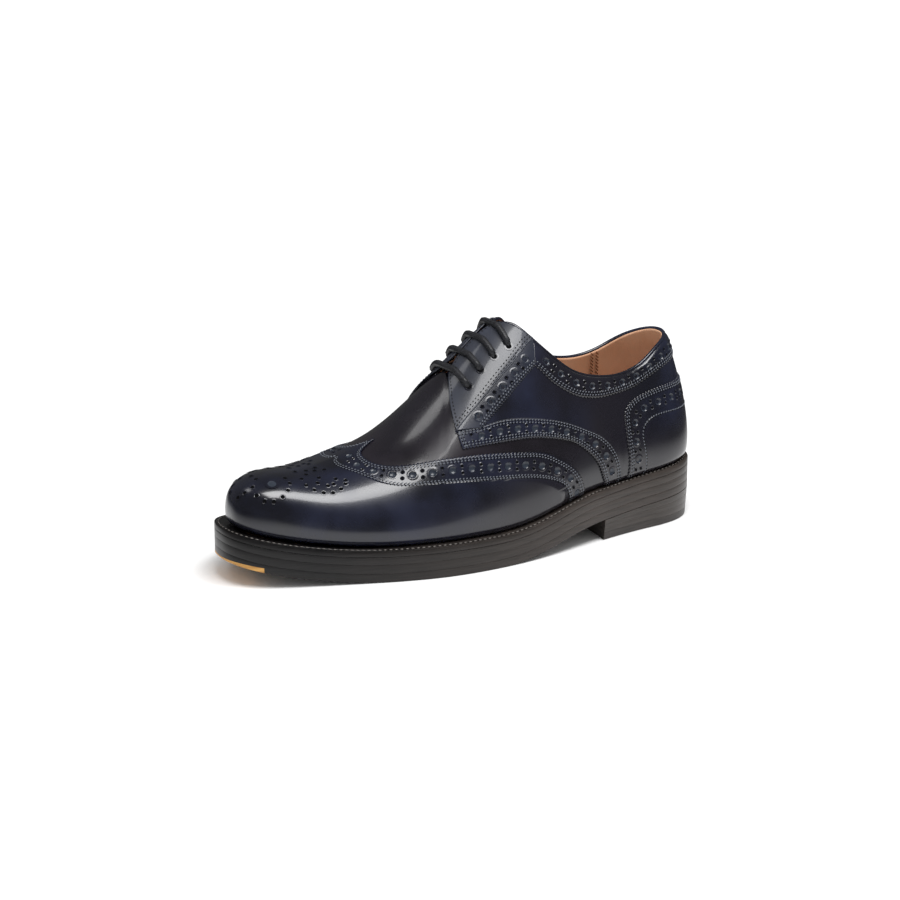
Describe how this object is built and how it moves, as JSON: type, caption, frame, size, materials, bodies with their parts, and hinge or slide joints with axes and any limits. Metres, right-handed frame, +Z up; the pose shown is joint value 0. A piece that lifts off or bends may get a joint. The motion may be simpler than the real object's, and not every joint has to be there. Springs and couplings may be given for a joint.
{
  "type": "full brogue derby shoe",
  "caption": "Left low leather shoe with open lacing, a winged toe cap, punched overlays, a hollow upper, a welt, a thick layered sole and a stacked heel.",
  "frame": {"origin": "middle of the footprint, on the floor", "axes": "toe towards -X, heel towards +X, outer (lateral) side towards -Y, +Z up"},
  "size_m": [0.3103, 0.112, 0.1365],
  "materials": {
    "upper_leather": "polished calf",
    "edge_leather": "waxed edge",
    "heel_leather": "waxed stacked leather",
    "tan_leather": "natural leather",
    "insole_leather": "natural leather",
    "lace": "waxed cotton"
  },
  "bodies": {
    "root": {"upper": "upper_leather", "wing_cap": "upper_leather", "quarter_lateral": "upper_leather", "quarter_medial": "upper_leather", "facing_lateral": "upper_leather", "facing_medial": "upper_leather", "collar_band": "upper_leather", "counter": "upper_leather", "tongue": "upper_leather", "outsole": "edge_leather", "lower_midsole": "edge_leather", "upper_midsole": "edge_leather", "welt": "edge_leather", "heel_top_piece": "edge_leather", "heel_lift_1": "heel_leather", "heel_lift_2": "heel_leather", "heel_lift_3": "heel_leather", "toe_tip": "tan_leather", "insole": "insole_leather", "lace_bar_1": "lace", "lace_bar_2": "lace", "lace_bar_3": "lace", "lace_bar_4": "lace"}
  },
  "joints": []
}
